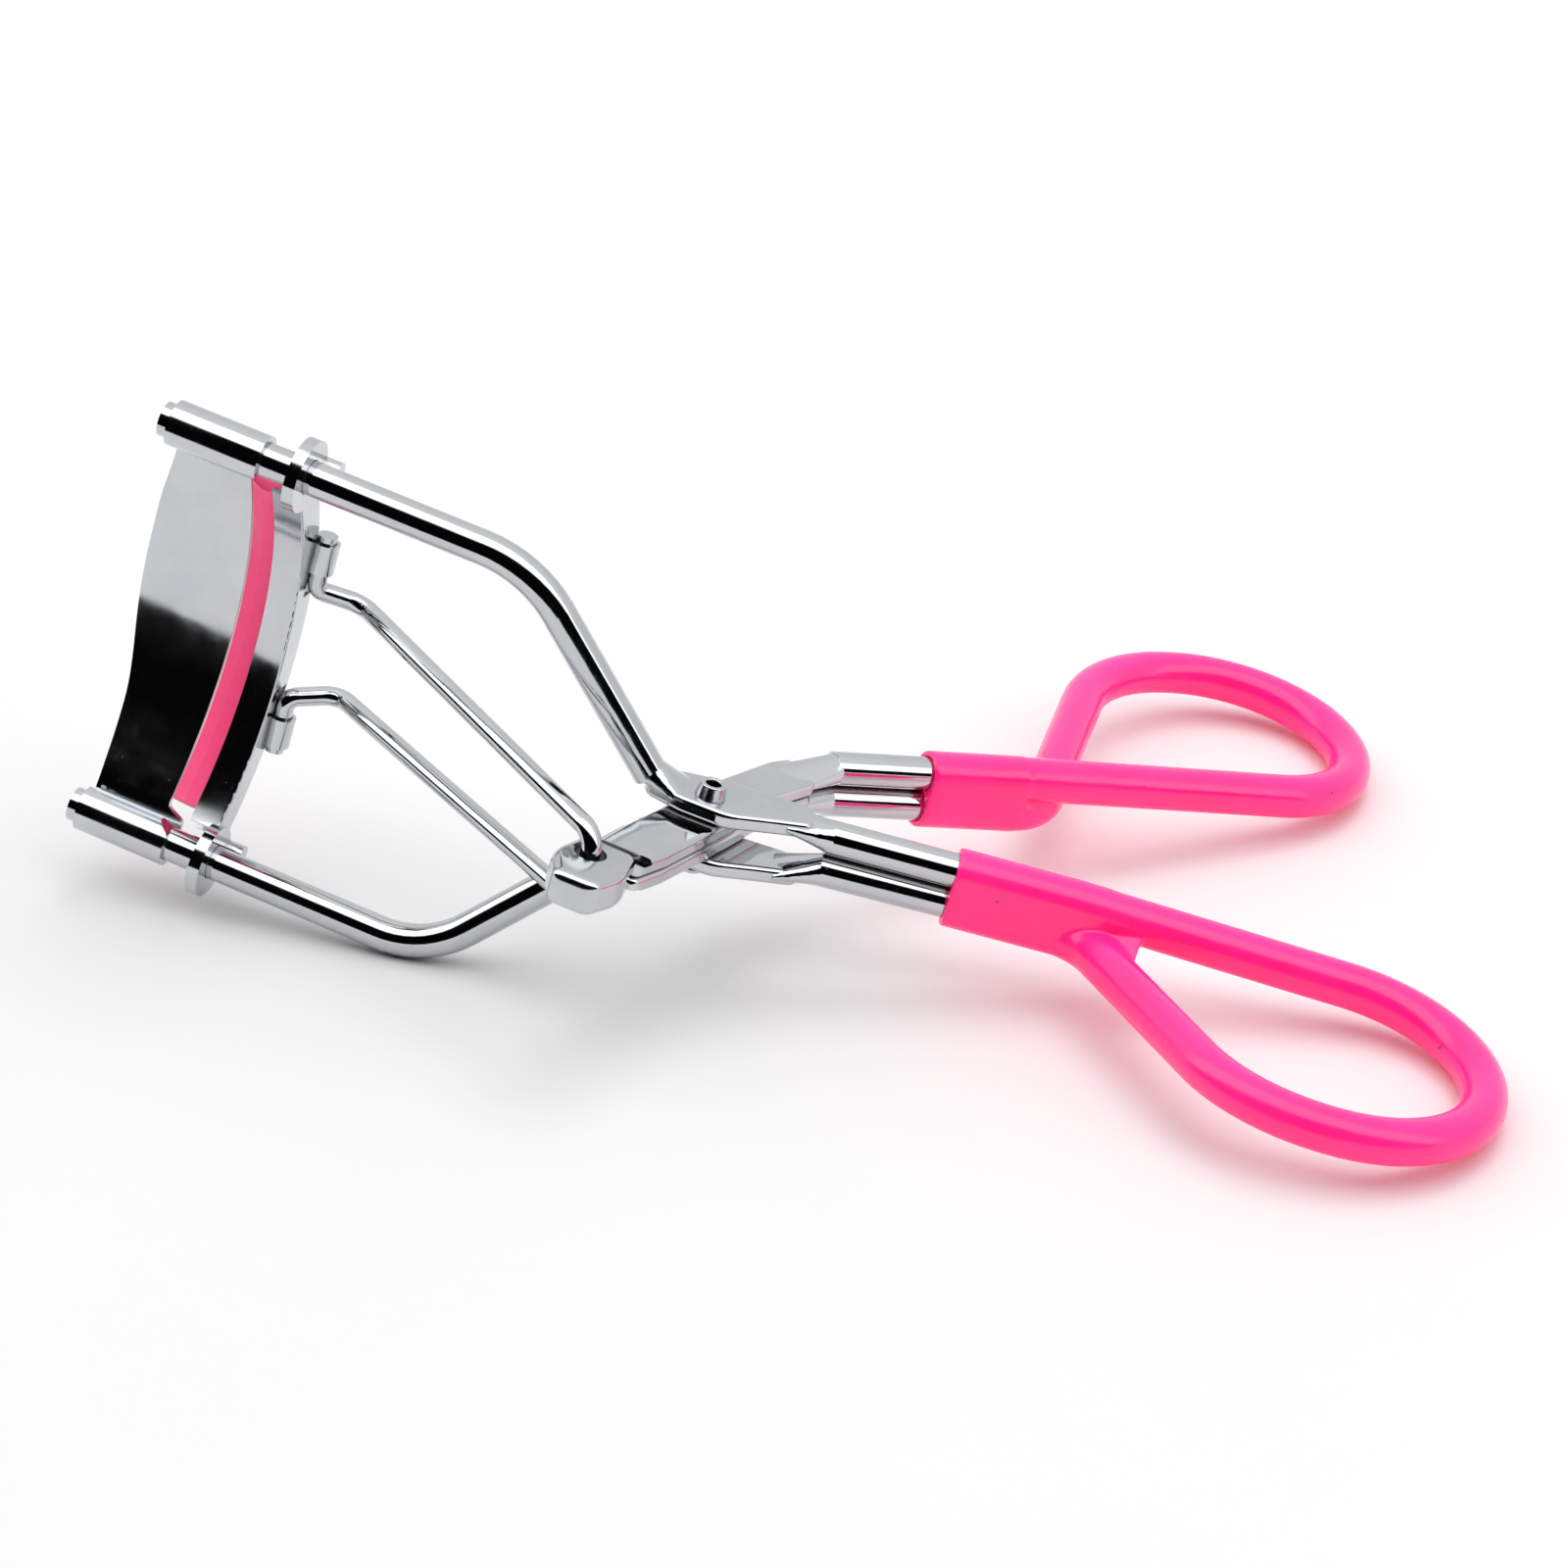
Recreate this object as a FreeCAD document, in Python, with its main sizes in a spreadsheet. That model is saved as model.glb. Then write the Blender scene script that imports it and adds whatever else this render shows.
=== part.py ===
"""Eyelash curler: a bent-wire tool with two finger loops, a riveted pivot and a sliding jaw bar.

Tool frame used for modelling, in millimetres: the pivot axis is Z through the origin, the two
parallel jaw rods run along X (jaw at -X, finger loops at +X), and the jaw bulges towards +Y.
Every sub-part then gets one common Placement, which lays the tool on a table: +Z up, the jaw
towards -X, the origin under the middle of its bounding box.
"""
import math
import os

import FreeCAD
import Part

Vector = FreeCAD.Vector
Rotation = FreeCAD.Rotation
Placement = FreeCAD.Placement

X_AXIS = Vector(1, 0, 0)
Y_AXIS = Vector(0, 1, 0)
Z_AXIS = Vector(0, 0, 1)
SIDES = (("upper", 1), ("lower", -1))

# Driving dimensions, in millimetres and degrees, kept in the document's spreadsheet.
SIZES = {
    # jaw rods and the stirrup they belong to
    "rod_dia": 2.8,
    "rod_half_spacing": 17.5,
    "rod_depth": -4.5,
    "rod_front": -49.4,
    "stirrup_bend_x": -17.6,
    "stirrup_bend_radius": 9.0,
    "arm_end_x": -4.9,
    "arm_end_y": -0.75,
    "arm_end_z": 3.1,
    # flattened plates at the pivot, and the two rods stacked behind them
    "plate_thickness": 1.4,
    "plate_gap": 0.05,
    "plate_edge_round": 0.45,
    "stack_half": 1.45,
    "flare_overlap": 0.5,
    # finger loops
    "loop_radius": 11.35,
    "loop_shoulder_radius": 12.8,
    "loop_shoulder_back": 18.7,
    "frame_crotch_back": 32.5,
    "lever_crotch_back": 34.2,
    "loop_crotch_radius": 5.0,
    "frame_elbow": 1.6,
    "lever_elbow": 4.0,
    "loop_tip_drop": 0.25,
    "loop_shoulder_drop": 1.05,
    "frame_angle": 12.3,
    "frame_offset": 3.55,
    "frame_tip": 63.9,
    "lever_angle": 40.4,
    "lever_offset": 8.73,
    "lever_tip": 68.8,
    # vinyl dip on the loops
    "grip_wall": 0.45,
    "grip_start_frame": 10.4,
    "grip_start_lever": 8.6,
    "grip_build_up": 0.05,
    "grip_web": 1.6,
    "web_slope": 0.95,
    "grip_overlap": 4.0,
    "sheath_end_frame": -1.5,
    "sheath_end_lever": 2.4,
    "fit_gap": 0.02,
    # tubular rivet
    "rivet_radius": 0.95,
    "rivet_bore": 0.62,
    "rivet_skirt": 1.25,
    "rivet_rim": 1.02,
    "rivet_stand": 1.15,
    "rivet_foot": 0.6,
    "pivot_clearance": 0.05,
    # jaw arc, fixed plate and its barrels
    "arc_radius": 24.6,
    "sheet": 0.45,
    "barrel_front": -48.5,
    "barrel_rear": -40.6,
    "jaw_bulge": -51.15,
    "jaw_lower_trim": 1.1,
    "jaw_lip": -42.27,
    "jaw_notch": -42.2,
    "dome_angle": 32.5,
    "foot_radius": 3.9,
    # sliding bar
    "bar_lip": -39.65,
    "bar_back": -37.1,
    "bar_back_wall": 0.6,
    "channel_half": 0.95,
    "flange_extra": 0.15,
    "channel_angle": 80.0,
    "strip_angle": 83.0,
    "ear_radius": 3.0,
    "ear_thickness": 1.0,
    "slide_clearance": 0.06,
    "knuckle_x": -36.55,
    "knuckle_y": 3.0,
    "knuckle_low": 6.7,
    "knuckle_high": 9.3,
    "knuckle_radius": 1.15,
    "knuckle_bore_start": 4.2,
    "curl_radius": 0.85,
    "curl_length": 1.6,
    "curl_reach": 2.75,
    # rubber pad
    "pad_nose": -42.1,
    "pad_shoulder": -40.9,
    "pad_nose_half": 0.35,
    "pad_angle": 74.0,
    # link wire and the yoke it passes through
    "wire_dia": 1.6,
    "link_tip": 9.9,
    "link_run": 5.0,
    "link_elbow_x": -33.1,
    "link_elbow_y": 5.3,
    "link_elbow_z": 4.2,
    "link_bend": 1.7,
    "yoke_x": -4.6,
    "yoke_y": -13.8,
    "yoke_half": 1.5,
    "tongue_half": 1.0,
    "tongue_start": -10.9,
    "yoke_hole": 1.3,
    "link_rise": 3.0,
    # how the tool lies on the table
    "lie_pitch": 11.553,
    "lie_roll": -5.215,
}


def new_document():
    """A document with its driving dimensions in a spreadsheet."""
    document = FreeCAD.newDocument("eyelash_curler")
    sheet = document.addObject("Spreadsheet::Sheet", "Sizes")
    for row, (alias, value) in enumerate(SIZES.items(), start=1):
        sheet.set(f"A{row}", alias)
        sheet.set(f"B{row}", str(value))
        sheet.setAlias(f"B{row}", alias)
    document.recompute()
    return document


doc = new_document()


def size(alias):
    """A driving dimension as a plain number."""
    return float(doc.Sizes.get(alias))


def polar(radius, degrees):
    """A point of the jaw's cross-section, as (y, z), at an angle from the jaw's middle."""
    centre_y = size("rod_depth") - math.sqrt(size("arc_radius") ** 2 - size("rod_half_spacing") ** 2)
    angle = math.radians(degrees)
    return centre_y + radius * math.cos(angle), radius * math.sin(angle)


ARC_CENTRE_Y = polar(0.0, 0.0)[0]
ROD_RADIUS = size("rod_dia") / 2


# ---------------------------------------------------------------- paths, outlines and solids


def rounded_edges(points, radii):
    """Straight runs joined by tangent arcs; radii has one entry for each inner point."""
    edges = []
    start = points[0]
    for before, corner, after, radius in zip(points, points[1:], points[2:], radii):
        if radius == 0:
            edges.append(Part.LineSegment(start, corner).toShape())
            start = corner
            continue
        back = (before - corner).normalize()
        ahead = (after - corner).normalize()
        half = back.getAngle(ahead) / 2
        reach = radius / math.tan(half)
        inward = (back + ahead).normalize()
        arc_start = corner + back * reach
        arc_middle = corner + inward * (radius / math.sin(half) - radius)
        arc_end = corner + ahead * reach
        edges.append(Part.LineSegment(start, arc_start).toShape())
        edges.append(Part.Arc(arc_start, arc_middle, arc_end).toShape())
        start = arc_end
    edges.append(Part.LineSegment(start, points[-1]).toShape())
    return edges


def shape_feature(name, shape):
    """A Part::Feature for a path or outline that no primitive draws."""
    feature = doc.addObject("Part::Feature", name)
    feature.Shape = shape
    return feature


def path(name, points, radii):
    return shape_feature(name, Part.Wire(rounded_edges(points, radii)))


def outline(name, points, radii):
    """A closed outline with every corner rounded."""
    middle = (points[0] + points[-1]) / 2
    ring = [middle] + list(points) + [middle]
    wire = Part.Wire(rounded_edges(ring, radii))
    return shape_feature(name, Part.Face(wire))


def facing(base, direction):
    """A placement whose Z axis points along direction."""
    return Placement(base, Rotation(Z_AXIS, direction))


def circle(name, radius_expression, base, direction):
    section = doc.addObject("Part::Circle", name)
    section.setExpression("Radius", radius_expression)
    section.Placement = facing(base, direction)
    return section


def sweep(name, section, spine):
    solid = doc.addObject("Part::Sweep", name)
    solid.Sections = [section]
    solid.Spine = (spine, [f"Edge{i + 1}" for i in range(len(spine.Shape.Edges))])
    solid.Solid = True
    solid.Frenet = False
    return solid


def tube(name, radius_expression, points, radii):
    """A round rod along a bent path."""
    spine = path(f"{name}_path", points, radii)
    section = circle(f"{name}_section", radius_expression, points[0], points[1] - points[0])
    return sweep(name, section, spine)


def extrude(name, base, direction, length_expression):
    solid = doc.addObject("Part::Extrusion", name)
    solid.Base = base
    solid.DirMode = "Custom"
    solid.Dir = direction
    solid.setExpression("LengthFwd", length_expression)
    solid.Solid = True
    return solid


def revolve(name, base, angle_expression):
    """Turns an outline about the axis of the jaw's arc, evenly to both sides."""
    solid = doc.addObject("Part::Revolution", name)
    solid.Source = base
    solid.Axis = X_AXIS
    solid.Base = Vector(0, ARC_CENTRE_Y, 0)
    solid.setExpression("Angle", angle_expression)
    solid.Symmetric = True
    solid.Solid = True
    return solid


def cylinder(name, radius_expression, height_expression, base, direction):
    solid = doc.addObject("Part::Cylinder", name)
    solid.setExpression("Radius", radius_expression)
    solid.setExpression("Height", height_expression)
    solid.Placement = facing(base, direction)
    return solid


def fuse(name, shapes):
    """Joins shapes one after another, so that the last joint carries the name."""
    solid = shapes[0]
    last = len(shapes) - 1
    for number, shape in enumerate(shapes[1:], start=1):
        joint = doc.addObject("Part::Fuse", name if number == last else f"{name}_{number}")
        joint.Base = solid
        joint.Tool = shape
        solid = joint
    return solid


def cut(name, base, tool):
    solid = doc.addObject("Part::Cut", name)
    solid.Base = base
    solid.Tool = tool
    return solid


def round_edges(name, base, radius, wanted):
    """Fillets the edges of base that the test picks out."""
    doc.recompute()
    solid = doc.addObject("Part::Fillet", name)
    solid.Base = base
    edges = enumerate(base.Shape.Edges, start=1)
    solid.Edges = [(number, radius, radius) for number, edge in edges if wanted(edge)]
    return solid


def is_flat_edge(edge):
    """True for an edge that lies in a plane of constant z."""
    heights = [vertex.Z for vertex in edge.Vertexes]
    return max(heights) - min(heights) < 1e-6 and edge.Length > 0.5


# ---------------------------------------------------------------- plates at the pivot


def plate(name, corners, radii, bottom):
    """A flattened stretch of rod: a level plate with softened edges, its underside at bottom."""
    points = [Vector(x, y, bottom) for x, y in corners]
    blank = outline(f"{name}_outline", points, radii)
    slab = extrude(f"{name}_slab", blank, Z_AXIS, "Sizes.plate_thickness")
    return round_edges(f"{name}_edges", slab, size("plate_edge_round"), is_flat_edge)


def ellipse_across(name, centre, direction, half_width, half_height):
    """An ellipse square to direction, its long axis level."""
    normal = Vector(direction).normalize()
    sideways = Z_AXIS.cross(normal).normalize()
    section = doc.addObject("Part::Ellipse", name)
    section.MajorRadius = half_width
    section.MinorRadius = half_height
    section.Placement = Placement(centre, Rotation(sideways, normal.cross(sideways), normal, "ZXY"))
    return section


def flare(name, flat_centre, flat_direction, flat_half_width, round_centre, round_direction):
    """The short stretch where a round rod is squeezed into a plate."""
    inside = size("fit_gap")
    half_height = size("plate_thickness") / 2 - inside
    flat = ellipse_across(f"{name}_flat", flat_centre, flat_direction, flat_half_width, half_height)
    end = round_centre + Vector(round_direction).normalize() * size("flare_overlap")
    radius = ROD_RADIUS - 1.5 * inside
    squeezed = ellipse_across(f"{name}_round", end, round_direction, radius, radius - inside / 10)
    loft = doc.addObject("Part::Loft", name)
    loft.Sections = [flat, squeezed]
    loft.Solid = True
    loft.Ruled = True
    return loft


FRAME_PLATE = [(-5.0, -1.5), (-1.6, -2.1), (2.2, -1.9), (5.4, 0.3), (8.3, 2.2),
               (7.4, 5.2), (4.4, 4.7), (0.6, 4.0), (-3.0, 2.6), (-5.3, 1.1)]
FRAME_PLATE_ROUNDS = [1.2, 3.0, 3.0, 4.0, 1.0, 1.0, 4.0, 4.0, 3.0, 1.0]
LEVER_PLATE = [(5.5, 12.6), (3.7, 8.0), (2.6, 2.0), (1.6, -3.0), (0.3, -8.8), (-0.9, -12.4),
               (-5.2, -12.1), (-4.3, -7.0), (-3.1, -2.0), (-2.4, 2.0), (-0.9, 7.0), (1.0, 12.8),
               (2.4, 15.0)]
LEVER_PLATE_ROUNDS = [1.0, 6.0, 8.0, 8.0, 4.0, 0.8, 0.8, 6.0, 8.0, 8.0, 6.0, 3.0, 1.0]


# ---------------------------------------------------------------- finger loops


class Loop:
    """One finger loop and its stacked shank, in the XY plane; turn is -1 for a loop towards -Y."""

    def __init__(self, kind, turn, shank_start):
        self.kind = kind
        self.turn = turn
        angle = math.radians(size(f"{kind}_angle"))
        self.along = Vector(math.cos(angle), math.sin(angle), 0)
        self.left = Vector(-math.sin(angle), math.cos(angle), 0)
        self.offset = size(f"{kind}_offset")
        self.tip = size(f"{kind}_tip")
        self.start = shank_start
        self.width = 2 * size("loop_radius") + 0.1
        self.crotch = size(f"{kind}_crotch_back")
        self.elbow = self.at(self.crotch + size(f"{kind}_elbow"), 0, 0)
        self.shank = (self.elbow - self.start).normalize()

    def at(self, back, out, height):
        """A point back from the tip along the loop and out from its straight inner side."""
        flat = self.along * (self.tip - back) + self.left * (self.offset + self.turn * out)
        return flat + Vector(0, 0, height)

    def raised(self, point, sign):
        """A point of the shank's middle line, raised or lowered to one of its two rods."""
        return point + Vector(0, 0, sign * size("stack_half"))

    def inner_half(self, first):
        """The path from a point on the upper rod to the middle of the loop's far end."""
        stack = size("stack_half")
        end = self.at(0, self.width / 2, stack - size("loop_tip_drop") / 2)
        return first + [self.at(0, 0, stack), end], [size("loop_radius")]

    def outer_half(self, last):
        """The path from the middle of the far end round the shoulder to the lower rod."""
        stack = size("stack_half")
        start = self.at(0, self.width / 2, stack - size("loop_tip_drop") / 2)
        corner = self.at(0, self.width, stack - size("loop_tip_drop"))
        shoulder = self.at(size("loop_shoulder_back"), self.width, stack - size("loop_shoulder_drop"))
        crotch = self.at(self.crotch, 0, -stack)
        radii = [size("loop_radius"), size("loop_shoulder_radius"), size("loop_crotch_radius")]
        return [start, corner, shoulder, crotch] + last, radii

    def rod(self):
        """The rod's whole path: out along the upper rod, round the loop, and back underneath."""
        bend = 20.0
        inner, inner_radii = self.inner_half([self.raised(self.start, 1), self.raised(self.elbow, 1)])
        behind = self.at(self.crotch + 6.5, 0, -size("stack_half"))
        outer, outer_radii = self.outer_half([behind, self.raised(self.start, -1)])
        return inner[:-1] + outer[1:], [bend] + inner_radii + outer_radii + [bend]


frame_loop = Loop("frame", -1, Vector(9.2, 4.1, 0))
lever_loop = Loop("lever", 1, Vector(5.6, 15.8, 0))


def loop_rod(name, loop, radius_expression):
    points, radii = loop.rod()
    return tube(name, radius_expression, points, radii)


# ---------------------------------------------------------------- the stirrup half


def frame_rod():
    """One rod bent into the jaw stirrup, flattened at the pivot and closed into a finger loop."""
    half = size("rod_half_spacing")
    depth = size("rod_depth")
    thickness = size("plate_thickness")
    low = thickness + 2 * size("plate_gap")
    shapes = [loop_rod("frame_loop", frame_loop, "Sizes.rod_dia / 2")]
    for side, sign in SIDES:
        bottom = low if sign > 0 else -low - thickness
        middle = bottom + thickness / 2
        front = Vector(size("rod_front"), depth, sign * half)
        bend = Vector(size("stirrup_bend_x"), depth, sign * half)
        arm_end = Vector(size("arm_end_x"), size("arm_end_y"), sign * size("arm_end_z"))
        arm = tube(f"stirrup_{side}", "Sizes.rod_dia / 2", [front, bend, arm_end],
                   [size("stirrup_bend_radius")])
        slab = plate(f"frame_plate_{side}", FRAME_PLATE, FRAME_PLATE_ROUNDS, bottom)
        toe = flare(f"stirrup_toe_{side}", Vector(-1.9, 0.35, middle), Vector(-1, -0.1, 0), 2.3,
                    arm_end, bend - arm_end)
        heel = flare(f"frame_heel_{side}", Vector(5.7, 2.75, middle), Vector(0.9, 0.4, 0), 2.05,
                     frame_loop.raised(frame_loop.start, sign), frame_loop.shank)
        shapes += [arm, slab, toe, heel]
    solid = fuse("frame_half", shapes)
    height = 3 * size("rod_dia")
    bore = doc.addObject("Part::Cylinder", "frame_bore")
    bore.setExpression("Radius", "Sizes.rivet_radius + Sizes.fit_gap")
    bore.Height = 2 * height
    bore.Placement.Base = Vector(0, 0, -height)
    return cut("frame_rod", solid, bore)


# ---------------------------------------------------------------- the lever half


def lever_rod():
    """The second rod: a finger loop, flattened at the pivot, with a neck out to the yoke."""
    gap = size("plate_gap")
    thickness = size("plate_thickness")
    shapes = [loop_rod("lever_loop", lever_loop, "Sizes.rod_dia / 2")]
    for side, sign in SIDES:
        bottom = gap if sign > 0 else -gap - thickness
        middle = bottom + thickness / 2
        slab = plate(f"lever_plate_{side}", LEVER_PLATE, LEVER_PLATE_ROUNDS, bottom)
        heel = flare(f"lever_heel_{side}", Vector(2.6, 11.6, middle), Vector(0.35, 0.94, 0), 2.1,
                     lever_loop.raised(lever_loop.start, sign), lever_loop.shank)
        shapes.append(fuse(f"lever_bend_{side}", [slab, heel]))
    solid = fuse("lever_half", shapes)
    height = 3 * size("rod_dia")
    bore = doc.addObject("Part::Cylinder", "lever_bore")
    bore.setExpression("Radius", "Sizes.rivet_radius + Sizes.pivot_clearance")
    bore.Height = 2 * height
    bore.Placement.Base = Vector(0, 0, -height)
    body = cut("lever_bored", solid, bore)
    width = 4 * size("rod_dia")
    for side, sign in SIDES:
        trim = doc.addObject("Part::Box", f"tongue_trim_{side}")
        trim.Length = width
        trim.Width = width
        trim.Height = height
        base_z = size("tongue_half") if sign > 0 else -size("tongue_half") - height
        trim.Placement.Base = Vector(-0.75 * width, size("tongue_start") - width, base_z)
        body = cut("lever_rod" if sign < 0 else "lever_one_trim", body, trim)
    return body


# ---------------------------------------------------------------- vinyl grips


def grip(loop):
    """The dipped skin of one loop: a sleeve round it, and a sheath over the two stacked rods."""
    kind = loop.kind
    skin = "Sizes.rod_dia / 2 + Sizes.grip_wall"
    first = loop.start + loop.shank * size(f"grip_start_{kind}")
    bend = 20.0
    inside = loop.elbow - loop.shank * size("grip_overlap")
    inner_points, inner_radii = loop.inner_half([loop.raised(inside, 1), loop.raised(loop.elbow, 1)])
    outer_points, outer_radii = loop.outer_half([loop.at(loop.crotch + 4.5, 0, -size("stack_half"))])
    inner = tube(f"{kind}_grip_inner", skin, inner_points, [bend] + inner_radii)
    outer = tube(f"{kind}_grip_outer", skin, outer_points, outer_radii)

    half_width = ROD_RADIUS + size("grip_wall") + size("grip_build_up")
    half_height = half_width + size("stack_half")
    side = Z_AXIS.cross(loop.shank).normalize()
    corners = [side * (a * half_width) + Z_AXIS * (b * half_height) + first
               for a, b in ((1, 1), (-1, 1), (-1, -1), (1, -1))]
    middle = (corners[0] + corners[3]) / 2
    oval = Part.Wire(rounded_edges([middle] + corners + [middle], [half_width - 0.01] * 4))
    section = shape_feature(f"{kind}_sheath_section", oval)
    sheath_end = loop.at(loop.crotch + size(f"sheath_end_{kind}"), 0, 0)
    spine = path(f"{kind}_sheath_path", [first, loop.elbow, sheath_end], [bend])
    sheath = sweep(f"{kind}_sheath", section, spine)

    half_web = size("grip_web") / 2
    web_points = [loop.at(loop.crotch + 0.5, 0.3, -half_web),
                  loop.at(loop.crotch - 4.6, 1.0, size("web_slope") - half_web),
                  loop.at(loop.crotch - 4.3, 3.9, -size("web_slope") - half_web)]
    web_face = outline(f"{kind}_web_outline", web_points, [0.3, 0.3, 0.3])
    web = extrude(f"{kind}_web", web_face, Z_AXIS, "Sizes.grip_web")
    body = fuse(f"{kind}_dip", [sheath, inner, outer, web])
    points, radii = loop.rod()
    core = tube(f"{kind}_core", "Sizes.rod_dia / 2 + Sizes.fit_gap", points, radii)
    return cut(f"{kind}_grip", body, core)


# ---------------------------------------------------------------- rivet, yoke and link


def pivot_rivet():
    """A tubular rivet: its rolled rim stands on the upper plate, its foot is spread below."""
    outer = size("plate_thickness") * 2 + size("plate_gap") * 2 + size("fit_gap")
    shank = doc.addObject("Part::Cylinder", "rivet_shank")
    shank.setExpression("Radius", "Sizes.rivet_radius")
    shank.Height = 2 * outer
    shank.Placement.Base = Vector(0, 0, -outer)
    skirt = doc.addObject("Part::Cone", "rivet_skirt")
    skirt.setExpression("Radius1", "Sizes.rivet_skirt")
    skirt.setExpression("Radius2", "Sizes.rivet_rim")
    skirt.setExpression("Height", "Sizes.rivet_stand")
    skirt.Placement.Base = Vector(0, 0, outer)
    foot = doc.addObject("Part::Cone", "rivet_foot")
    foot.setExpression("Radius1", "Sizes.rivet_skirt")
    foot.setExpression("Radius2", "2 * Sizes.rivet_radius")
    foot.setExpression("Height", "Sizes.rivet_foot")
    foot.Placement.Base = Vector(0, 0, -outer - size("rivet_foot"))
    body = fuse("rivet_body", [shank, skirt, foot])
    bore = cylinder("rivet_bore", "Sizes.rivet_bore", "Sizes.rod_dia * 5",
                    Vector(0, 0, -2.5 * size("rod_dia")), Z_AXIS)
    open_tube = cut("rivet_tube", body, bore)
    top = outer + size("rivet_stand")
    return round_edges("pivot_rivet", open_tube, 0.14,
                       lambda edge: abs(edge.BoundBox.ZMin - top) < 1e-4 and edge.BoundBox.ZLength < 1e-4)


YOKE = [(-5.8, -18.5), (-2.4, -18.4), (-1.1, -15.2), (-1.5, -11.1), (-6.1, -10.9), (-7.3, -15.2)]
YOKE_ROUNDS = [1.2, 1.4, 4.0, 0.9, 0.9, 4.0]


def link_yoke():
    """The block closed over the lever's neck, with the hole that carries the link wire."""
    half = size("yoke_half")
    blank = outline("yoke_outline", [Vector(x, y, -half) for x, y in YOKE], YOKE_ROUNDS)
    block = extrude("yoke_block", blank, Z_AXIS, "2 * Sizes.yoke_half")
    soft = round_edges("yoke_soft", block, 0.7, is_flat_edge)
    slot_half = size("tongue_half") + size("plate_gap")
    points = [Vector(x, y, -slot_half) for x, y in LEVER_PLATE]
    middle = (points[0] + points[-1]) / 2
    face = Part.Face(Part.Wire(rounded_edges([middle] + points + [middle], LEVER_PLATE_ROUNDS)))
    slot_face = shape_feature("yoke_slot_outline", face.makeOffset2D(size("plate_gap")))
    slot = extrude("yoke_slot", slot_face, Z_AXIS, "2 * (Sizes.tongue_half + Sizes.plate_gap)")
    slotted = cut("yoke_slotted", soft, slot)
    hole = cylinder("yoke_hole", "Sizes.yoke_hole", "4 * Sizes.yoke_half",
                    Vector(size("yoke_x"), size("yoke_y"), -2 * half), Z_AXIS)
    return cut("link_yoke", slotted, hole)


def link_wire():
    """One bent wire: two hinge ends at the bar, two arms, and a bend down through the yoke."""
    upper = [
        Vector(size("knuckle_x"), size("knuckle_y"), size("link_tip")),
        Vector(size("knuckle_x"), size("knuckle_y"), size("link_run")),
        Vector(size("link_elbow_x"), size("link_elbow_y"), size("link_elbow_z")),
        Vector(size("yoke_x"), size("yoke_y"), size("link_rise")),
    ]
    lower = [Vector(point.x, point.y, -point.z) for point in reversed(upper)]
    bend = size("link_bend")
    radii = [1.05, 2.0, bend, bend, 2.0, 1.05]
    return tube("link_wire", "Sizes.wire_dia / 2", upper + lower, radii)


# ---------------------------------------------------------------- jaw


def jaw_plate_half(sign, x_middle):
    """Half of the fixed jaw: from the middle of the arc to the barrel rolled round one rod."""
    half = size("rod_half_spacing")
    depth = size("rod_depth")
    roll = ROD_RADIUS + size("fit_gap") + size("sheet") / 2
    arc = size("arc_radius")
    dome_angle = size("dome_angle")

    def point(y, z):
        return Vector(x_middle, y, sign * z)

    dome = [point(*polar(arc, angle)) for angle in (0, dome_angle / 2, dome_angle)]
    far_y = depth + roll
    slope = math.tan(math.radians(dome_angle))
    foot_z = polar(arc, dome_angle)[1] + (polar(arc, dome_angle)[0] - far_y) / slope
    edges = [Part.Arc(*dome).toShape()]
    edges += rounded_edges([dome[2], point(far_y, foot_z), point(far_y, half)], [size("foot_radius")])

    def on_barrel(degrees):
        angle = math.radians(degrees)
        return point(depth + roll * math.sin(angle), half + roll * math.cos(angle))

    edges.append(Part.Arc(on_barrel(90), on_barrel(0), on_barrel(-90)).toShape())
    edges.append(Part.Arc(on_barrel(-90), on_barrel(-140), on_barrel(-190)).toShape())
    side = "upper" if sign > 0 else "lower"
    spine = shape_feature(f"jaw_{side}_path", Part.Wire(edges))
    wide = (size("barrel_rear") - size("jaw_bulge")) / 2
    middle_y = dome[0].y
    thick = size("sheet") / 2
    corners = [Vector(x_middle + a * wide, middle_y + b * thick, 0)
               for a, b in ((-1, -1), (1, -1), (1, 1), (-1, 1), (-1, -1))]
    section = shape_feature(f"jaw_{side}_section", Part.makePolygon(corners))
    return sweep(f"jaw_{side}", section, spine)


def fixed_jaw_plate():
    """The curved sheet across the front of the rods, trimmed to its outline seen from the front."""
    x_middle = (size("jaw_bulge") + size("barrel_rear")) / 2
    sheet = fuse("jaw_sheet", [jaw_plate_half(1, x_middle), jaw_plate_half(-1, x_middle)])
    beyond = size("rod_half_spacing") + 3
    roll_in = size("rod_half_spacing") - ROD_RADIUS - size("sheet")
    front = [(size("barrel_front"), beyond), (size("barrel_front"), roll_in - 0.3),
             (size("jaw_bulge") + 0.75, 8.5), (size("jaw_bulge"), 0.0)]
    rear = [(size("barrel_rear"), beyond), (size("barrel_rear"), roll_in + 0.5),
            (size("jaw_notch"), roll_in - 0.2), (size("jaw_lip"), 10.5)]
    trim = size("jaw_lower_trim")
    lower = [(size("jaw_bulge") + 0.75 + trim, -8.5), (size("barrel_front"), 0.3 - roll_in),
             (size("barrel_front"), -beyond)]
    loop = front + lower + [(x, -z) for x, z in rear] + rear[::-1]
    rounds = [0, 4.0, 25.0, 30.0, 25.0, 4.0, 0, 0, 0.4, 0.6, 5.0, 5.0, 0.6, 0.4, 0]
    face = outline("jaw_blank_outline", [Vector(x, -9, z) for x, z in loop], rounds)
    blank = extrude("jaw_blank", face, Y_AXIS, "Sizes.arc_radius")
    plate_shape = doc.addObject("Part::Common", "fixed_jaw_plate")
    plate_shape.Base = sheet
    plate_shape.Tool = blank
    return plate_shape


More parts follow.
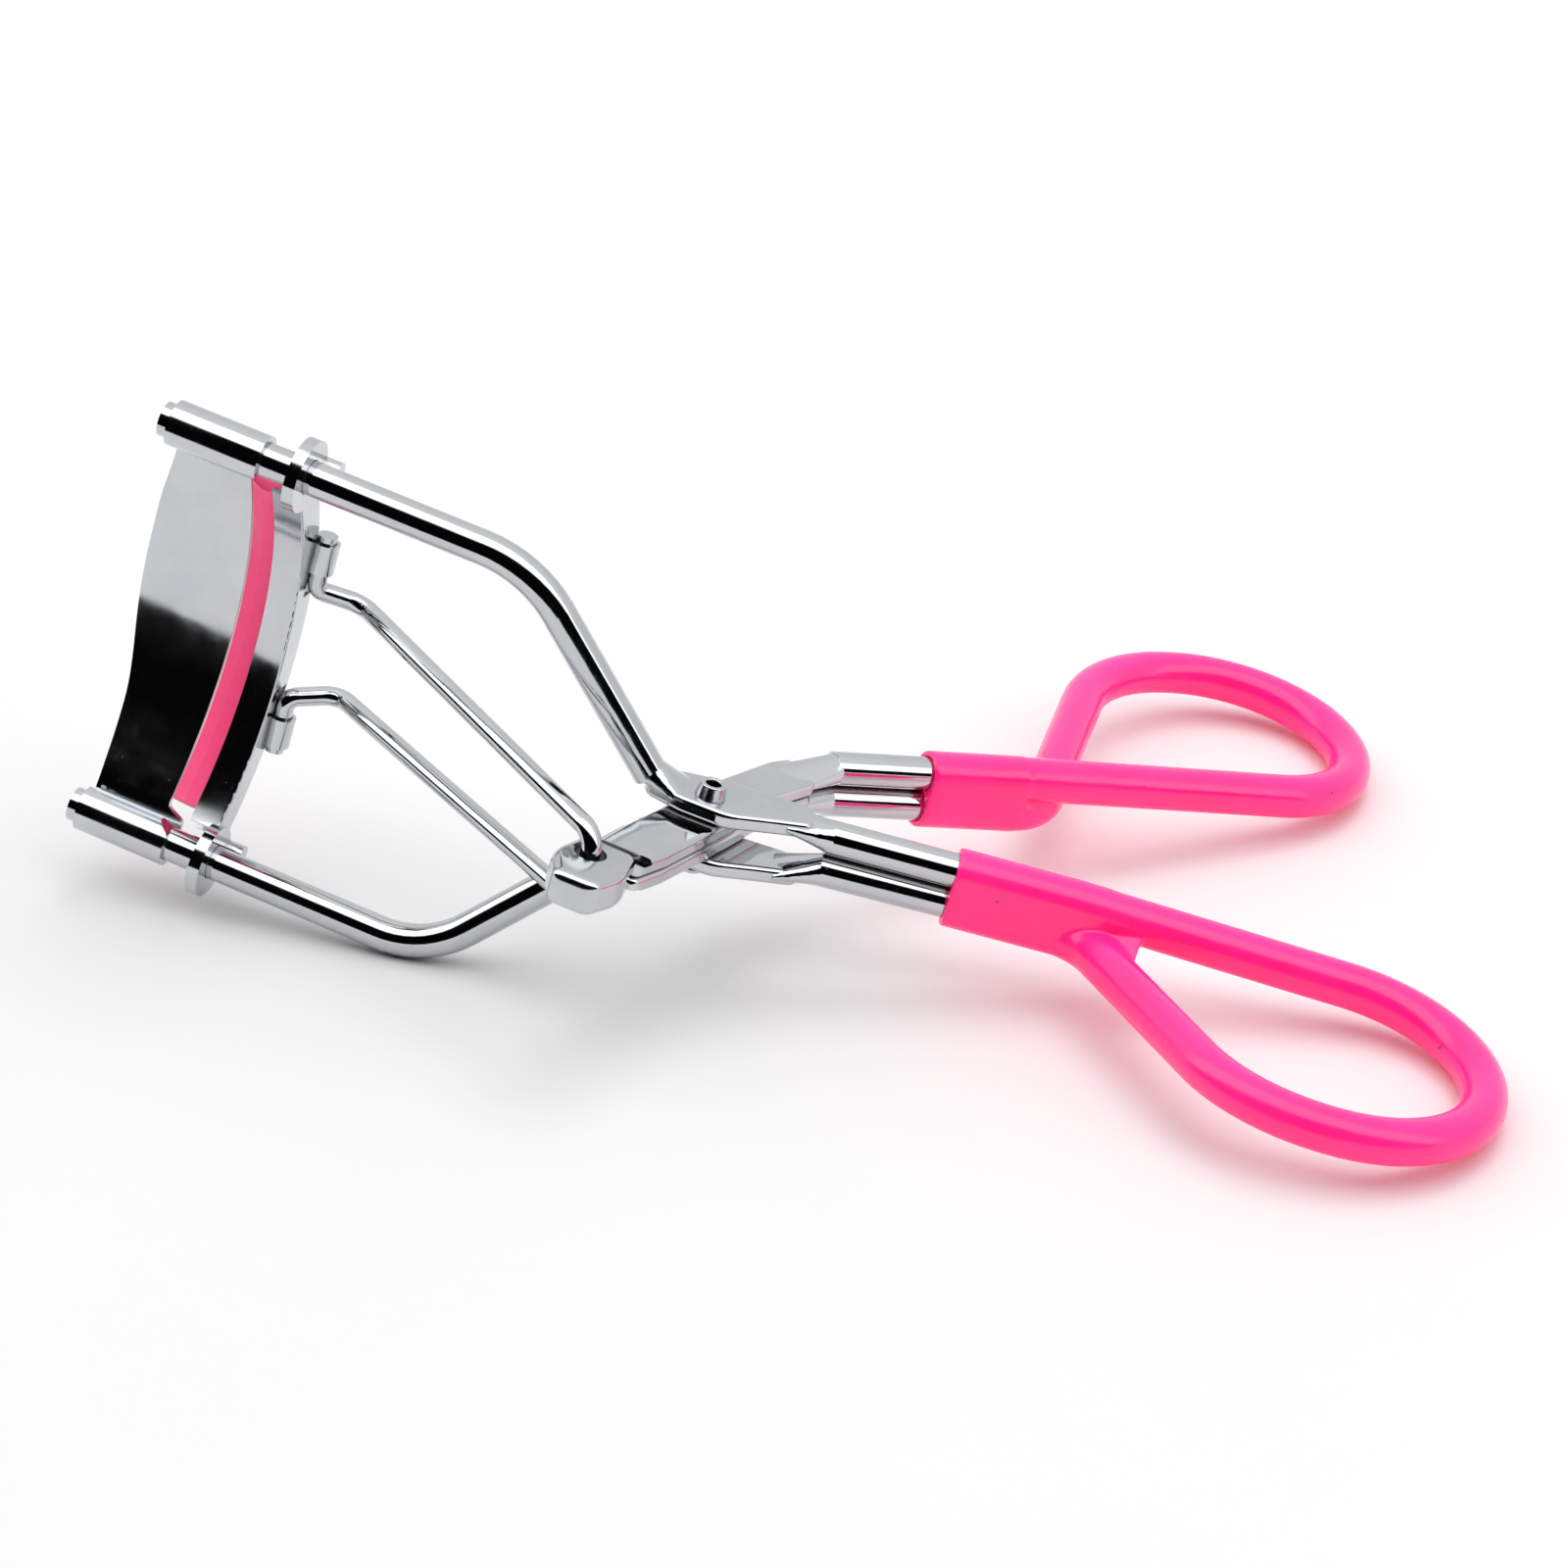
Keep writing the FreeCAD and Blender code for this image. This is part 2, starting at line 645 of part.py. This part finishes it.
def across(x, radius):
    """A point of the jaw's middle cross-section, at a radius from the centre of its arc."""
    return Vector(x, ARC_CENTRE_Y + radius, 0)


def slide_bar():
    """The moving bar: a channel bent to the arc, an ear on each rod, and two knuckles behind."""
    arc = size("arc_radius")
    near = arc - size("channel_half") - size("sheet")
    far = arc + size("channel_half") + size("sheet")
    lip = size("bar_lip")
    back = size("bar_back")
    floor = back - size("bar_back_wall")
    flange = far + size("flange_extra")
    middle = (floor + back) / 2
    corners = [across(lip, near), across(lip, near + size("sheet")), across(floor, near + size("sheet")),
               across(floor, far - size("sheet")), across(lip, far - size("sheet")), across(lip, far),
               across(middle, far), across(middle, near)]
    channel = outline("channel_outline", corners, [0] * len(corners))
    corners = [across(floor, near), across(floor, flange), across(back, flange), across(back, near)]
    strip = outline("strip_outline", corners, [0, 0, 0.2, 0.2])
    shapes = [revolve("bar_channel", channel, "Sizes.channel_angle"),
              revolve("bar_strip", strip, "Sizes.strip_angle")]
    depth = size("rod_depth")
    for side, sign in SIDES:
        centre = Vector(floor, depth, sign * size("rod_half_spacing"))
        ear = cylinder(f"ear_{side}", "Sizes.ear_radius", "Sizes.ear_thickness", centre, X_AXIS)
        curl_base = Vector(back + 0.2, depth + size("curl_reach"), sign * size("rod_half_spacing"))
        curl = cylinder(f"curl_{side}", "Sizes.curl_radius", "Sizes.curl_length", curl_base, X_AXIS)
        low = size("knuckle_low") if sign > 0 else -size("knuckle_high")
        knuckle = cylinder(f"knuckle_{side}", "Sizes.knuckle_radius",
                           "Sizes.knuckle_high - Sizes.knuckle_low",
                           Vector(size("knuckle_x"), size("knuckle_y"), low), Z_AXIS)
        shapes += [ear, curl, knuckle]
    body = fuse("bar_body", shapes)
    for side, sign in SIDES:
        entry = Vector(size("knuckle_x"), size("knuckle_y"), sign * size("knuckle_bore_start"))
        pin = cylinder(f"knuckle_bore_{side}", "Sizes.wire_dia / 2 + Sizes.slide_clearance",
                       "Sizes.knuckle_high", entry, Z_AXIS * sign)
        body = cut(f"bar_bored_{side}", body, pin)
        start = Vector(size("rod_front"), depth, sign * size("rod_half_spacing"))
        hole = cylinder(f"ear_hole_{side}", "Sizes.rod_dia / 2 + Sizes.slide_clearance",
                        "2 * Sizes.rod_half_spacing", start, X_AXIS)
        body = cut("slide_bar" if sign < 0 else "bar_one_ear", body, hole)
    return body


def rubber_pad():
    """The soft strip held in the channel, its nose facing the fixed plate."""
    arc = size("arc_radius")
    half = size("channel_half") - size("fit_gap")
    rear = size("bar_back") - size("bar_back_wall") - size("fit_gap")
    shoulder = size("pad_shoulder")
    nose_half = size("pad_nose_half")
    corners = [across(rear, arc - half), across(shoulder, arc - half),
               across(size("pad_nose"), arc - nose_half), across(size("pad_nose"), arc + nose_half),
               across(shoulder, arc + half), across(rear, arc + half)]
    face = outline("pad_outline", corners, [0, 0.25, 0.25, 0.25, 0.25, 0])
    return revolve("rubber_pad", face, "Sizes.pad_angle")


# ---------------------------------------------------------------- the whole tool


def lay_down(parts):
    """Gives every sub-part the placement that rests the tool on a table."""
    doc.recompute()
    turn = Rotation(X_AXIS, size("lie_roll")) * Rotation(Y_AXIS, size("lie_pitch"))
    whole = Part.makeCompound([feature.Shape for feature in parts.values()])
    whole.Placement = Placement(Vector(0, 0, 0), turn)
    box = whole.optimalBoundingBox(False)
    corner = Vector((box.XMin + box.XMax) / 2, (box.YMin + box.YMax) / 2, box.ZMin)
    lying = Placement(-corner, turn)
    for feature in parts.values():
        feature.Placement = lying * feature.Placement
    doc.recompute()


def build():
    """Makes every sub-part, under the name of its node."""
    parts = {
        "frame_rod": frame_rod(),
        "lever_rod": lever_rod(),
        "frame_grip": grip(frame_loop),
        "lever_grip": grip(lever_loop),
        "pivot_rivet": pivot_rivet(),
        "link_yoke": link_yoke(),
        "link_wire": link_wire(),
        "fixed_jaw_plate": fixed_jaw_plate(),
        "slide_bar": slide_bar(),
        "rubber_pad": rubber_pad(),
    }
    for node, feature in parts.items():
        feature.Label = node
    lay_down(parts)
    return parts


def check(parts):
    """Stops if any object failed to rebuild or any sub-part isn't one sound solid."""
    for feature in doc.Objects:
        if "Invalid" in feature.State or "Error" in feature.State:
            raise RuntimeError(f"{feature.Name} failed to rebuild: {feature.State}")
    for node, feature in parts.items():
        shape = feature.Shape
        if shape.isNull() or not shape.isValid() or len(shape.Solids) != 1:
            raise RuntimeError(f"{node} isn't one valid solid")


sub_parts = build()
check(sub_parts)
os.makedirs("parts", exist_ok=True)
for node, feature in sub_parts.items():
    feature.Shape.exportStep(f"parts/{node}.step")
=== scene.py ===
import math

import bpy
from mathutils import Matrix, Vector

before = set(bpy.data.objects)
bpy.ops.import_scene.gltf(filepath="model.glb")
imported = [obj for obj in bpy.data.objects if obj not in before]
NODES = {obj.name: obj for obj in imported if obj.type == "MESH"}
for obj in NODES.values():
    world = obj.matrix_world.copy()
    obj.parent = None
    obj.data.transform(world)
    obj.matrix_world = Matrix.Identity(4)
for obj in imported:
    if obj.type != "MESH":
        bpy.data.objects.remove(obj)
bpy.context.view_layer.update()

# An eyelash curler: chromed wire and sheet, two loops dipped in pink vinyl, and a pink rubber pad.
# All lengths are metres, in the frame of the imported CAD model.

MM = 0.001

# Plating: bare metal, the brown film in its hollows (tarnish at the seams, and painted shade that darkens
# the crevices), and its pits.
TARNISH_AND_SHADE_BROWN = (0.19, 0.13, 0.075, 1.0)
PIT_GREY = 0.35
HOLLOW_REACH = 0.7 * MM

# Vinyl and rubber: two shades that drift into each other, dirt, and a painted glow: both emit a little
# light, standing in for the day-glo pigment, so they stay bright pink in shade.
VINYL_SHADES = ((0.97, 0.014, 0.27, 1.0), (1.0, 0.020, 0.32, 1.0))
VINYL_DIRT = (0.22, 0.02, 0.05, 1.0)
VINYL_PAINTED_GLOW = (1.0, 0.005, 0.03, 1.0)
RUBBER_SHADES = ((0.96, 0.068, 0.235, 1.0), (1.0, 0.088, 0.28, 1.0))
RUBBER_WORN = (0.95, 0.16, 0.32, 1.0)
RUBBER_PAINTED_GLOW = (1.0, 0.03, 0.12, 1.0)

# The dip's surface is rebuilt from small cubes, then relaxed.
MELT_VOXEL = 0.13 * MM
MELT_PASSES = 16

# Floor: as far as it reaches, and how close to the viewer polished metal still mirrors it.
FLOOR_REACH = 3.0
MIRRORED_FROM = -0.13
FLOOR_DROP = 0.05 * MM

# Light round the tool, by the angle in degrees up from the viewer's horizon and over to the back.
SOFTBOX_START = (50.0, 58.0)
SOFTBOX_END = (94.0, 103.0)
SOFTBOX_POWER = 2.3
BACKDROP_FADE = (110.0, 165.0)
BACKDROP_LOW = 0.84
ROOM_IN_METAL = 0.002
ROOM_GAIN = 0.82
ROOM_FILL = 0.047
BEHIND_FLOOR = 1.2

KEY_PLACE = (0.05, 0.25, 0.75)
KEY_SIZE = 0.45
KEY_WATTS = 1.3

CAMERA_PLACE = (0.09636, -0.33304, 0.19234)
CAMERA_TURN = (61.8705, -2.8984, 18.8058)
CAMERA_LENS = 108.67


# ---------------------------------------------------------------- node helpers


class Graph:
    """A material's or world's node tree, with short ways to add nodes and to wire them."""

    def __init__(self, owner):
        owner.use_nodes = True
        self.tree = owner.node_tree
        self.tree.nodes.clear()

    def node(self, kind, inputs=None, **settings):
        made = self.tree.nodes.new(kind)
        for name, value in settings.items():
            setattr(made, name, value)
        for name, value in (inputs or {}).items():
            self.feed(made.inputs[name], value)
        return made

    def feed(self, socket, value):
        """Wires a socket to another node's output, or sets it to a plain value."""
        if isinstance(value, bpy.types.NodeSocket):
            self.tree.links.new(value, socket)
        else:
            socket.default_value = value

    def math(self, operation, first, second=0.0, third=0.0, clamp=False):
        made = self.node("ShaderNodeMath", operation=operation, use_clamp=clamp)
        for socket, value in zip(made.inputs, (first, second, third)):
            self.feed(socket, value)
        return made.outputs[0]

    def span(self, value, low, high, to_low=0.0, to_high=1.0):
        """Carries low..high over to to_low..to_high with soft ends."""
        made = self.node("ShaderNodeMapRange", {
            "Value": value, "From Min": low, "From Max": high, "To Min": to_low, "To Max": to_high,
        }, interpolation_type="SMOOTHSTEP")
        return made.outputs["Result"]

    def mix(self, factor, first, second):
        made = self.node("ShaderNodeMix", data_type="RGBA")
        self.feed(made.inputs[0], factor)
        self.feed(made.inputs[6], first)
        self.feed(made.inputs[7], second)
        return made.outputs[2]

    def noise(self, place, size, detail=3.0, roughness=0.55):
        """Noise whose features are about size metres across."""
        made = self.node("ShaderNodeTexNoise", {
            "Vector": place, "Scale": 1.0 / size, "Detail": detail, "Roughness": roughness,
        })
        return made.outputs["Fac"]

    def bump(self, height, distance, normal=None, strength=1.0):
        inputs = {"Height": height, "Distance": distance, "Strength": strength}
        if normal is not None:
            inputs["Normal"] = normal
        return self.node("ShaderNodeBump", inputs).outputs[0]


def new_material(name):
    """A material, its empty graph, and the surface position on the object."""
    material = bpy.data.materials.new(name)
    graph = Graph(material)
    return material, graph, graph.node("ShaderNodeTexCoord").outputs["Object"]


def principled(graph, inputs):
    shader = graph.node("ShaderNodeBsdfPrincipled", inputs)
    graph.node("ShaderNodeOutputMaterial", {"Surface": shader.outputs[0]})


def grey(value):
    return (value, value, value, 1.0)


# ---------------------------------------------------------------- materials


def chrome(name, tone=0.59, polish=0.05, tarnish_and_shade_depth=0.35, ripple=0.06):
    """Bright plating over bent wire or sheet: ripples, faint smears, pits, and a brown film in hollows that
    is partly tarnish and partly painted shade.

    tone is the metal's brightness, polish its roughness, tarnish_and_shade_depth how thick the brown film
    of tarnish and painted shade is, and ripple the height of the waves in millimetres.
    """
    material, graph, place = new_material(name)
    smear = graph.noise(place, 5.0 * MM, 4.0, 0.6)
    cloud = graph.noise(place, 1.6 * MM, 3.0)
    speck = graph.noise(place, 0.22 * MM, 2.0, 0.7)
    # Painted shade and tarnish: where ambient occlusion finds a hollow the plating turns brown, darkening
    # the crevices as well as marking tarnish at the seams.
    hollow = graph.node("ShaderNodeAmbientOcclusion", {"Distance": HOLLOW_REACH}, samples=8)
    tarnish_and_shade_mask = graph.math("MULTIPLY", graph.span(hollow.outputs["AO"], 0.75, 0.25), tarnish_and_shade_depth, clamp=True)
    clean = (tone * 0.97, tone, tone * 1.03, 1.0)
    smeared = (tone * 0.91, tone * 0.94, tone * 0.98, 1.0)
    tint = graph.mix(graph.span(smear, 0.35, 0.65), clean, smeared)
    tint = graph.mix(tarnish_and_shade_mask, tint, TARNISH_AND_SHADE_BROWN)
    pits = graph.span(speck, 0.74, 0.80)
    tint = graph.mix(graph.math("MULTIPLY", pits, 0.4), tint, grey(PIT_GREY))
    rough = graph.span(smear, 0.3, 0.7, polish, polish * 2.1)
    rough = graph.math("ADD", rough, graph.span(cloud, 0.55, 0.8, 0.0, 0.05))
    rough = graph.math("ADD", rough, graph.math("MULTIPLY", tarnish_and_shade_mask, 0.5), clamp=True)
    waves = graph.bump(graph.noise(place, 3.2 * MM, 1.0), ripple * MM, strength=0.35)
    normal = graph.bump(pits, -0.004 * MM, waves)
    principled(graph, {"Base Color": tint, "Metallic": 1.0, "Roughness": rough, "Normal": normal})
    return material


def vinyl(name):
    """Dipped hot-pink vinyl: glossy, slightly see-through, with slow ripples, a few dark specks and a
    painted glow.
    """
    material, graph, place = new_material(name)
    patch = graph.noise(place, 9.0 * MM, 3.0)
    ripple = graph.noise(place, 4.0 * MM, 1.5)
    fine = graph.noise(place, 0.35 * MM, 2.0)
    dirt = graph.span(graph.noise(place, 0.7 * MM, 0.0), 0.855, 0.875)
    pink = graph.mix(graph.span(patch, 0.3, 0.7), *VINYL_SHADES)
    pink = graph.mix(graph.math("MULTIPLY", dirt, 0.75), pink, VINYL_DIRT)
    rough = graph.span(patch, 0.3, 0.7, 0.19, 0.28)
    rough = graph.math("ADD", rough, graph.math("MULTIPLY", dirt, 0.3), clamp=True)
    # Painted glow: the vinyl emits a little red light so its shaded sides stay bright pink; less on the
    # dark specks.
    painted_glow = graph.span(dirt, 0.0, 1.0, 0.30, 0.02)
    waves = graph.bump(ripple, 0.10 * MM, strength=0.45)
    normal = graph.bump(fine, 0.006 * MM, waves, strength=0.5)
    principled(graph, {
        "Base Color": pink, "Roughness": rough, "Normal": normal, "IOR": 1.5,
        "Subsurface Weight": 0.15, "Subsurface Radius": (1.0, 0.1, 0.3), "Subsurface Scale": 0.8 * MM,
        "Coat Weight": 0.15, "Coat Roughness": 0.16,
        "Emission Color": VINYL_PAINTED_GLOW, "Emission Strength": painted_glow,
    })
    return material


def rubber(name):
    """Pink rubber: satin, cloudy and finely grained, with paler worn edges and a painted glow."""
    material, graph, place = new_material(name)
    cloud = graph.noise(place, 2.5 * MM, 3.0)
    fine = graph.noise(place, 0.12 * MM, 3.0, 0.65)
    pink = graph.mix(graph.span(cloud, 0.3, 0.7), *RUBBER_SHADES)
    edge = graph.span(graph.node("ShaderNodeNewGeometry").outputs["Pointiness"], 0.52, 0.6)
    pink = graph.mix(graph.math("MULTIPLY", edge, 0.35), pink, RUBBER_WORN)
    rough = graph.span(fine, 0.3, 0.7, 0.42, 0.58)
    swell = graph.bump(cloud, 0.05 * MM, strength=0.4)
    normal = graph.bump(fine, 0.012 * MM, swell, strength=0.6)
    # Painted glow: the rubber emits a little pink light so the pad stays bright where the plate shades it.
    principled(graph, {
        "Base Color": pink, "Roughness": rough, "Normal": normal, "IOR": 1.5,
        "Subsurface Weight": 0.15, "Subsurface Radius": (1.0, 0.15, 0.35), "Subsurface Scale": 0.6 * MM,
        "Emission Color": RUBBER_PAINTED_GLOW, "Emission Strength": 0.19,
    })
    return material


def paint(node, material):
    """Gives every face of a CAD node one material."""
    slots = NODES[node].material_slots
    if not slots:
        NODES[node].data.materials.append(material)
    for entry in NODES[node].material_slots:
        entry.material = material


wire_chrome = chrome("chrome_wire")
sheet_chrome = chrome("chrome_sheet", tone=0.60, polish=0.07, tarnish_and_shade_depth=0.45, ripple=0.04)
small_chrome = chrome("chrome_small_parts", tone=0.58, polish=0.08, tarnish_and_shade_depth=0.5)
for node in ("frame_rod", "lever_rod", "link_wire"):
    paint(node, wire_chrome)
for node in ("fixed_jaw_plate", "slide_bar"):
    paint(node, sheet_chrome)
for node in ("pivot_rivet", "link_yoke"):
    paint(node, small_chrome)
for node in ("frame_grip", "lever_grip"):
    paint(node, vinyl(f"{node}_vinyl"))
paint("rubber_pad", rubber("pad_rubber"))


# ---------------------------------------------------------------- surface modifiers


def soften_grip(node):
    """Melts the joints of a dipped grip into one another, as liquid vinyl does."""
    grip = NODES[node]
    remesh = grip.modifiers.new("melt", "REMESH")
    remesh.mode = "VOXEL"
    remesh.voxel_size = MELT_VOXEL
    remesh.use_smooth_shade = True
    smooth = grip.modifiers.new("flow", "SMOOTH")
    smooth.factor = 0.5
    smooth.iterations = MELT_PASSES


for node in ("frame_grip", "lever_grip"):
    soften_grip(node)


# ---------------------------------------------------------------- floor, surroundings and lights


def plane(name, front, height, material):
    """A level sheet from front (the viewer's side) to the floor's far edge."""
    far = FLOOR_REACH
    mesh = bpy.data.meshes.new(name)
    corners = [(-far, front, height), (far, front, height), (far, far, height), (-far, far, height)]
    mesh.from_pydata(corners, [], [(0, 1, 2, 3)])
    mesh.materials.append(material)
    made = bpy.data.objects.new(name, mesh)
    bpy.context.scene.collection.objects.link(made)
    return made


def white_paper():
    """Matt white paper sweep."""
    material, graph, place = new_material("white_paper")
    tone = graph.mix(graph.noise(place, 60 * MM), grey(0.79), grey(0.815))
    principled(graph, {
        "Base Color": tone, "Roughness": 0.75, "Specular IOR Level": 0.15,
        "Normal": graph.bump(graph.noise(place, 0.5 * MM), 0.02 * MM, strength=0.3),
    })
    return material


def floor():
    """The paper, and its stand-in for reflections, which ends where the dark room begins."""
    paper = white_paper()
    seen = plane("floor", -FLOOR_REACH, -FLOOR_DROP, paper)
    seen.visible_glossy = False
    mirrored = plane("floor_in_reflections", MIRRORED_FROM, 0.0, paper)
    mirrored.visible_camera = False
    mirrored.visible_diffuse = False
    mirrored.visible_shadow = False


def surroundings():
    """A white backdrop, a brighter softbox overhead, and a dark room on the viewer's side."""
    world = bpy.data.worlds.new("studio")
    bpy.context.scene.world = world
    graph = Graph(world)
    direction = graph.node("ShaderNodeTexCoord").outputs["Generated"]
    parts = graph.node("ShaderNodeSeparateXYZ", {"Vector": direction}).outputs
    toward_viewer = graph.math("MULTIPLY", parts["Y"], -1.0)
    turn = graph.math("DEGREES", graph.math("ARCTAN2", parts["Z"], toward_viewer))
    end_low, end_high = SOFTBOX_END
    overhead = graph.math("MULTIPLY", graph.span(turn, *SOFTBOX_START), graph.span(turn, end_high, end_low))
    fade = graph.span(turn, *BACKDROP_FADE, 1.0, BACKDROP_LOW)
    behind = graph.math("MULTIPLY", graph.span(turn, end_low, end_high), fade)
    back = graph.math("MULTIPLY_ADD", overhead, SOFTBOX_POWER, behind)
    in_metal = graph.math("ADD", back, ROOM_IN_METAL)
    on_matt = graph.math("MULTIPLY_ADD", back, ROOM_GAIN, ROOM_FILL)
    rays = graph.node("ShaderNodeLightPath")
    strength = graph.mix(rays.outputs["Is Glossy Ray"], on_matt, in_metal)
    strength = graph.mix(rays.outputs["Is Camera Ray"], strength, grey(BEHIND_FLOOR))
    shade = graph.node("ShaderNodeBackground", {"Color": strength, "Strength": 1.0})
    graph.node("ShaderNodeOutputWorld", {"Surface": shade.outputs[0]})


def key_light():
    """A soft disk above and behind, aimed at the tool, which polished metal doesn't mirror."""
    lamp = bpy.data.lights.new("key", "AREA")
    lamp.shape = "DISK"
    lamp.size = KEY_SIZE
    lamp.energy = KEY_WATTS
    made = bpy.data.objects.new("key", lamp)
    bpy.context.scene.collection.objects.link(made)
    aim = Vector(KEY_PLACE).to_track_quat("Z", "Y").to_matrix().to_4x4()
    made.matrix_world = Matrix.Translation(KEY_PLACE) @ aim
    made.visible_glossy = False
    made.visible_camera = False


floor()
surroundings()
key_light()


# ---------------------------------------------------------------- camera


def camera():
    """A short telephoto from the front, a little to the right, looking down on the tool."""
    lens = bpy.data.cameras.new("camera")
    lens.lens = CAMERA_LENS
    lens.sensor_width = 36.0
    lens.clip_start = 0.01
    made = bpy.data.objects.new("camera", lens)
    bpy.context.scene.collection.objects.link(made)
    made.location = CAMERA_PLACE
    made.rotation_euler = [math.radians(angle) for angle in CAMERA_TURN]
    bpy.context.scene.camera = made


camera()
bpy.context.scene.view_settings.view_transform = "Standard"
